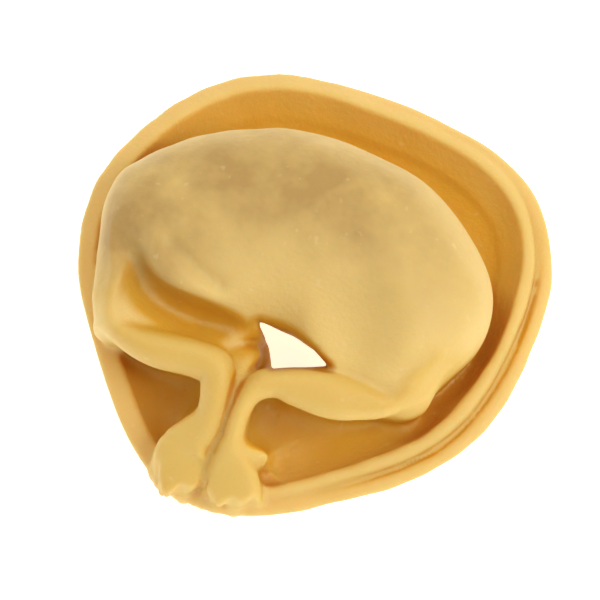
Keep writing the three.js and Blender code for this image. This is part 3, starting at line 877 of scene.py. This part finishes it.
class PieceSettings(bpy.types.PropertyGroup):
    cell: length_setting("Cell", "Size of the mesh's quads", 0.23)
    seam_depth: length_setting("Seam depth", "Depth of the seam between the two layers at the cut edge", 0.6)
    lumps: length_setting("Lumps", "Height of the dough's unevenness", 0.12)
    # Strength of the painted orange shade in the hollows
    hollow_shade_strength: share_setting("Hollow tint", "Strength of the orange of the hollows", 0.95)
    filling_tint: share_setting("Filling tint", "Strength of the filling's shade", 0.75)
    grain: share_setting("Grain", "Strength of the fine grain", 0.25)
    brim_warm: colour_setting("Brim, warm", "Darker patches of the brim and the folds", 227, 187, 94)
    brim_pale: colour_setting("Brim, pale", "Paler patches of the brim and the folds", 236, 200, 110)
    pocket_warm: colour_setting("Pocket, warm", "Darker patches of the pocket", 234, 200, 118)
    pocket_pale: colour_setting("Pocket, pale", "Paler patches of the pocket", 246, 214, 136)
    # Painted shade: the deep orange of the hollows
    hollow_shade_colour: colour_setting("Hollow", "Dough in the hollows", 226, 172, 46)
    filling_colour: colour_setting("Filling", "Where the filling shows through", 174, 132, 68)
    # Painted shade: the dark orange deep in the creases
    crease_shade_colour: colour_setting("Crease", "Dough deep in the creases", 206, 126, 24)
    # Painted highlight: the paler cut edge
    edge_highlight_colour: colour_setting("Cut edge", "The cut edge of the brim", 244, 208, 128)
    speck_colour: colour_setting("Specks", "Pale specks in the dough", 250, 228, 176)


class StageSettings(bpy.types.PropertyGroup):
    azimuth: bpy.props.FloatProperty(
        name="Azimuth", description="Direction of the camera", default=math.radians(19), subtype="ANGLE"
    )
    elevation: bpy.props.FloatProperty(
        name="Elevation", description="Height of the camera", default=math.radians(74), subtype="ANGLE"
    )
    distance: length_setting("Distance", "From the piece to the camera", 420)
    width: length_setting("Width", "Width of the picture at the piece", 43)
    key_power: bpy.props.FloatProperty(
        name="Key", description="Power of the lamp at the right", default=1.0, unit="POWER"
    )
    fill_power: bpy.props.FloatProperty(
        name="Fill", description="Power of the lamp at the back left", default=0.4, unit="POWER"
    )
    surround: bpy.props.FloatProperty(
        name="Surround", description="Strength of the light from all round", default=0.56
    )
    floor_glow: bpy.props.FloatProperty(
        name="Floor glow", description="Strength of the floor's own white", default=0.62
    )
    floor_colour: colour_setting("Floor", "The floor", 250, 250, 250)


class TORTELLINO_OT_dough(bpy.types.Operator):
    """Adds the piece of dough in place of its solid"""

    bl_idname = "tortellino.dough"
    bl_label = "Add the tortellino"

    def execute(self, context):
        settings = context.scene.tortellino_piece
        cell = settings.cell / MM * 1
        mesh = dough_mesh(cell, settings.seam_depth / MM, settings.lumps / MM)
        mesh.materials.append(dough_material(settings))
        piece = bpy.data.objects.new("tortellino_dough", mesh)
        context.scene.collection.objects.link(piece)
        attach(piece, "root")
        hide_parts(NODE)
        return {"FINISHED"}


def add_floor(scene, settings):
    """A plain pale floor."""
    mesh = bpy.data.meshes.new("floor")
    turns = ((-1, -1), (1, -1), (1, 1), (-1, 1))
    corners = [(FLOOR_HALF * right, FLOOR_HALF * back, 0) for right, back in turns]
    mesh.from_pydata(corners, [], [(0, 1, 2, 3)])
    shader = Shader("floor")
    shader.set(Base_Color=settings.floor_colour, Roughness=FLOOR_ROUGHNESS, Specular_IOR_Level=FLOOR_GLOSS)
    shader.set(Emission_Color=WHITE, Emission_Strength=settings.floor_glow)
    mesh.materials.append(shader.material)
    floor = bpy.data.objects.new("floor", mesh)
    floor.location.z = -FLOOR_DROP
    scene.collection.objects.link(floor)


def add_light(scene, name, place, size, power):
    """A square soft light that faces the piece."""
    light = bpy.data.lights.new(name, "AREA")
    light.size = size
    light.energy = power
    lamp = bpy.data.objects.new(name, light)
    lamp.location = place
    lamp.rotation_euler = (-Vector(place)).to_track_quat("-Z", "Y").to_euler()
    scene.collection.objects.link(lamp)


def add_world(scene, strength):
    """Even white light from all round."""
    world = bpy.data.worlds.new("studio")
    world.use_nodes = True
    background = world.node_tree.nodes["Background"]
    background.inputs["Color"].default_value = WHITE
    background.inputs["Strength"].default_value = strength
    scene.world = world


def add_camera(scene, settings):
    """A long lens at the photo's angle."""
    data = bpy.data.cameras.new("camera")
    data.sensor_width = SENSOR
    data.lens = data.sensor_width * settings.distance / settings.width
    flat = math.cos(settings.elevation)
    out = Vector((
        math.sin(settings.azimuth) * flat,
        -math.cos(settings.azimuth) * flat,
        math.sin(settings.elevation),
    ))
    camera = bpy.data.objects.new("camera", data)
    right = Vector((math.cos(settings.azimuth), math.sin(settings.azimuth), 0.0))
    turned = Matrix((right, out.cross(right), out)).transposed().to_4x4()
    turned.translation = Vector(LOOK_AT) + out * settings.distance
    camera.matrix_world = turned
    scene.collection.objects.link(camera)
    scene.camera = camera


class TORTELLINO_OT_stage(bpy.types.Operator):
    """Adds the floor, the lights and the camera"""

    bl_idname = "tortellino.stage"
    bl_label = "Set up the stage"

    def execute(self, context):
        scene = context.scene
        settings = scene.tortellino_stage
        scene.view_settings.view_transform = "Standard"
        add_floor(scene, settings)
        add_world(scene, settings.surround)
        add_light(scene, "key", KEY_PLACE, KEY_SIZE, settings.key_power)
        add_light(scene, "fill", FILL_PLACE, FILL_SIZE, settings.fill_power)
        add_camera(scene, settings)
        return {"FINISHED"}


class TORTELLINO_PT_panel(bpy.types.Panel):
    """The sidebar panel with the piece's and the stage's settings"""

    bl_label = "Tortellino"
    bl_idname = "TORTELLINO_PT_panel"
    bl_space_type = "VIEW_3D"
    bl_region_type = "UI"
    bl_category = "Tortellino"

    def draw(self, context):
        layout = self.layout
        for name in PieceSettings.__annotations__:
            layout.prop(context.scene.tortellino_piece, name)
        layout.operator("tortellino.dough")
        for name in StageSettings.__annotations__:
            layout.prop(context.scene.tortellino_stage, name)
        layout.operator("tortellino.stage")


CLASSES = (PieceSettings, StageSettings, TORTELLINO_OT_dough, TORTELLINO_OT_stage, TORTELLINO_PT_panel)


def register():
    for one in CLASSES:
        bpy.utils.register_class(one)
    bpy.types.Scene.tortellino_piece = bpy.props.PointerProperty(type=PieceSettings)
    bpy.types.Scene.tortellino_stage = bpy.props.PointerProperty(type=StageSettings)


def unregister():
    del bpy.types.Scene.tortellino_stage
    del bpy.types.Scene.tortellino_piece
    for one in reversed(CLASSES):
        bpy.utils.unregister_class(one)


def main():
    register()
    bpy.ops.tortellino.dough()
    bpy.ops.tortellino.stage()


if __name__ == "__main__":
    main()
